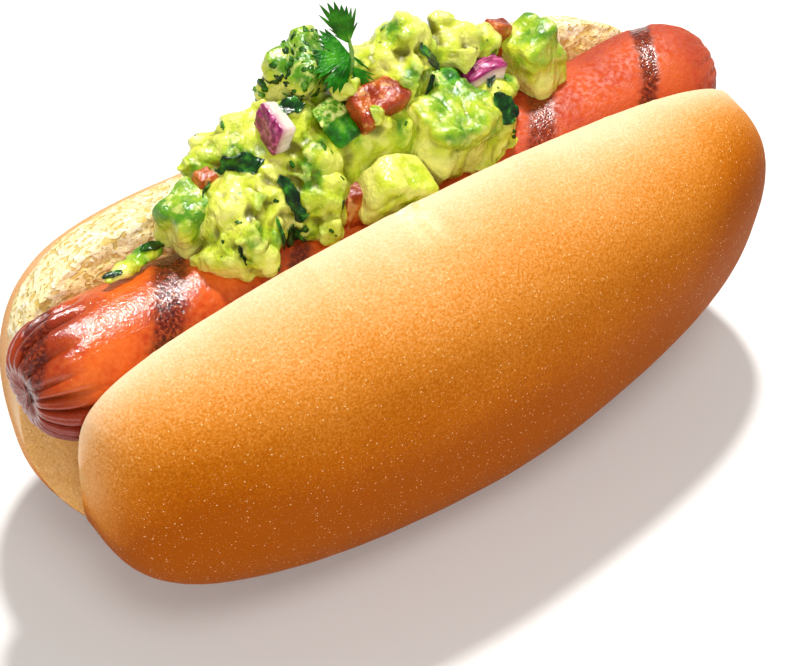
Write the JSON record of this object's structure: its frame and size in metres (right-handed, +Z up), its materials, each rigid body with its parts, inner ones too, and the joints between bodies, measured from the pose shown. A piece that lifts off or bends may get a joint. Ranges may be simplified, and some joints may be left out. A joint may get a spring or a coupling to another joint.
{
  "type": "hot dog",
  "caption": "Split bun holding a grilled sausage, topped with chunky guacamole, tomato, red onion, green pepper and a coriander sprig.",
  "frame": {"origin": "under the middle of the hot dog's bounding box, on the surface it stands on", "axes": "+X along the bun from the puckered end of the sausage to its plain end, +Y from the front half to the back half, +Z up"},
  "size_m": [0.1442, 0.075, 0.0937],
  "materials": {
    "crust": "soft baked crust, satin",
    "sausage_skin": "grilled skin, glossy",
    "guacamole": "moist mash, glossy",
    "avocado": "moist, satin",
    "tomato": "wet, glossy",
    "onion": "wet, satin",
    "green_pepper": "waxy, glossy",
    "coriander": "fresh leaf, satin"
  },
  "bodies": {
    "root": {"bun": "crust", "sausage": "sausage_skin", "guacamole": "guacamole", "guacamole_dab": "guacamole", "avocado_left": "avocado", "avocado_front": "avocado", "avocado_middle": "avocado", "avocado_right": "avocado", "avocado_back": "avocado", "tomato_left": "tomato", "tomato_front": "tomato", "tomato_middle": "tomato", "tomato_top": "tomato", "onion_left": "onion", "onion_right": "onion", "pepper_middle": "green_pepper", "pepper_right": "green_pepper", "coriander": "coriander"}
  },
  "joints": []
}
